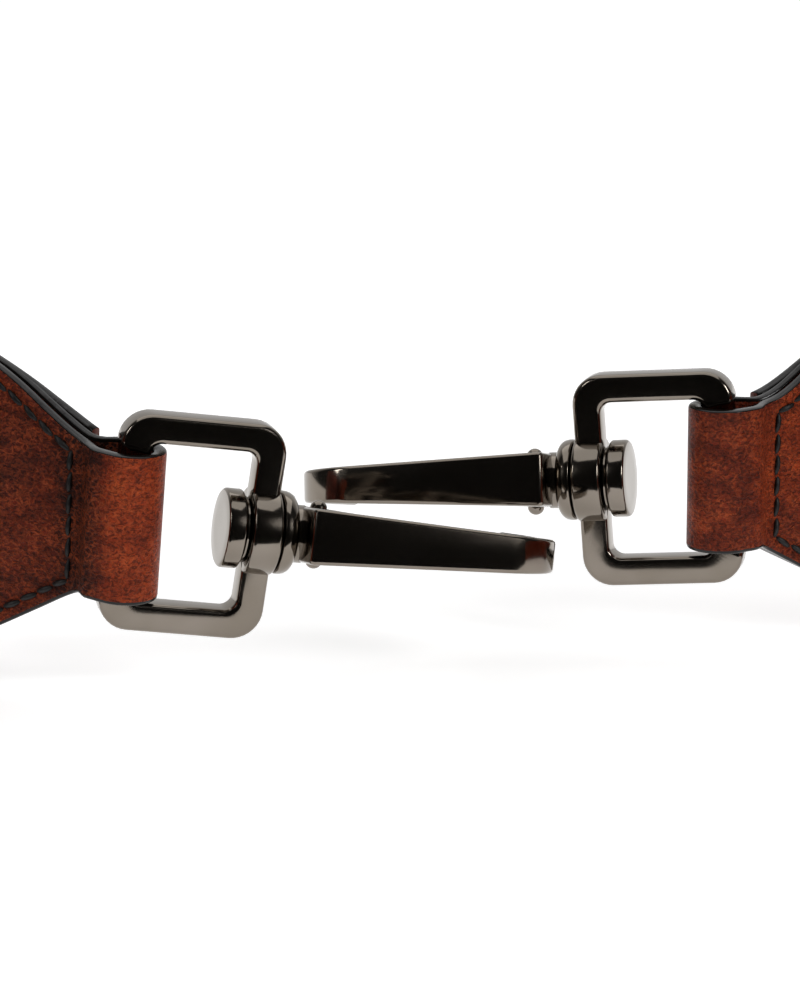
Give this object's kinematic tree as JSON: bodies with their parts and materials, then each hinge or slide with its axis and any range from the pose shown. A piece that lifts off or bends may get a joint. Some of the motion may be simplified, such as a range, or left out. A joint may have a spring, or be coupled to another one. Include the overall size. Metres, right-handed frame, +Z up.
{
  "type": "suspender strap",
  "caption": "Padded leather suspender strap bent into an upright loop, tapered to folded tabs with square rings and swivelling snap hooks that face each other.",
  "frame": {"origin": "middle of the footprint, on the surface that the strap stands on by its lower edge", "axes": "+Z up across the strap width; +Y from the closed side of the loop towards the two hooks; +X from the left clasp to the right clasp"},
  "size_m": [0.339, 0.324, 0.05],
  "materials": {
    "grained_leather": "grained reddish-brown leather, waxed, black painted edges",
    "backing_leather": "smooth darker brown lining leather",
    "foam": "dense foam padding",
    "woven_tape": "woven stay tape",
    "black_thread": "waxed black thread",
    "gunmetal": "polished gunmetal plating",
    "spring_steel": "bright spring wire"
  },
  "bodies": {
    "strap": {"front_leather": "grained_leather", "back_leather": "backing_leather", "core_padding": "foam", "stay_tape": "woven_tape", "front_stitching": "black_thread", "back_stitching": "black_thread"},
    "left_ring": {"left_swivel_ring": "gunmetal"},
    "left_hook": {"left_swivel_post": "gunmetal", "left_swivel_washer": "gunmetal", "left_hook_body": "gunmetal", "left_gate_pin": "gunmetal", "left_gate_spring": "spring_steel"},
    "left_gate": {"left_gate": "gunmetal"},
    "right_ring": {"right_swivel_ring": "gunmetal"},
    "right_hook": {"right_swivel_post": "gunmetal", "right_swivel_washer": "gunmetal", "right_hook_body": "gunmetal", "right_gate_pin": "gunmetal", "right_gate_spring": "spring_steel"},
    "right_gate": {"right_gate": "gunmetal"}
  },
  "joints": [
    {"name": "left_ring_hinge", "type": "hinge", "parent": "strap", "child": "left_ring", "pos_m": [-0.0443, 0.11914, 0.024], "axis": [0.1518, 0.0029, 0.9884], "range_deg": [-125, 2]},
    {"name": "left_swivel", "type": "hinge", "parent": "left_ring", "child": "left_hook", "pos_m": [-0.02801, 0.12333, 0.02149], "axis": [0.9579, 0.246, -0.1478], "continuous": true},
    {"name": "left_gate_hinge", "type": "hinge", "parent": "left_hook", "child": "left_gate", "pos_m": [-0.02065, 0.12958, 0.01939], "axis": [-0.095, -0.2143, -0.9721], "range_deg": [0, 17], "stiffness_Nm_per_rad": 0.05, "springref_deg": -22.92},
    {"name": "right_ring_hinge", "type": "hinge", "parent": "strap", "child": "right_ring", "pos_m": [0.03172, 0.1426, 0.024], "axis": [-0.0754, 0.0447, 0.9962], "range_deg": [-55, 2]},
    {"name": "right_swivel", "type": "hinge", "parent": "right_ring", "child": "right_hook", "pos_m": [0.01524, 0.1465, 0.02258], "axis": [-0.9698, 0.2292, -0.0837], "continuous": true},
    {"name": "right_gate_hinge", "type": "hinge", "parent": "right_hook", "child": "right_gate", "pos_m": [0.00765, 0.15258, 0.02079], "axis": [-0.0229, 0.2558, 0.9665], "range_deg": [0, 17], "stiffness_Nm_per_rad": 0.05, "springref_deg": -22.92}
  ]
}
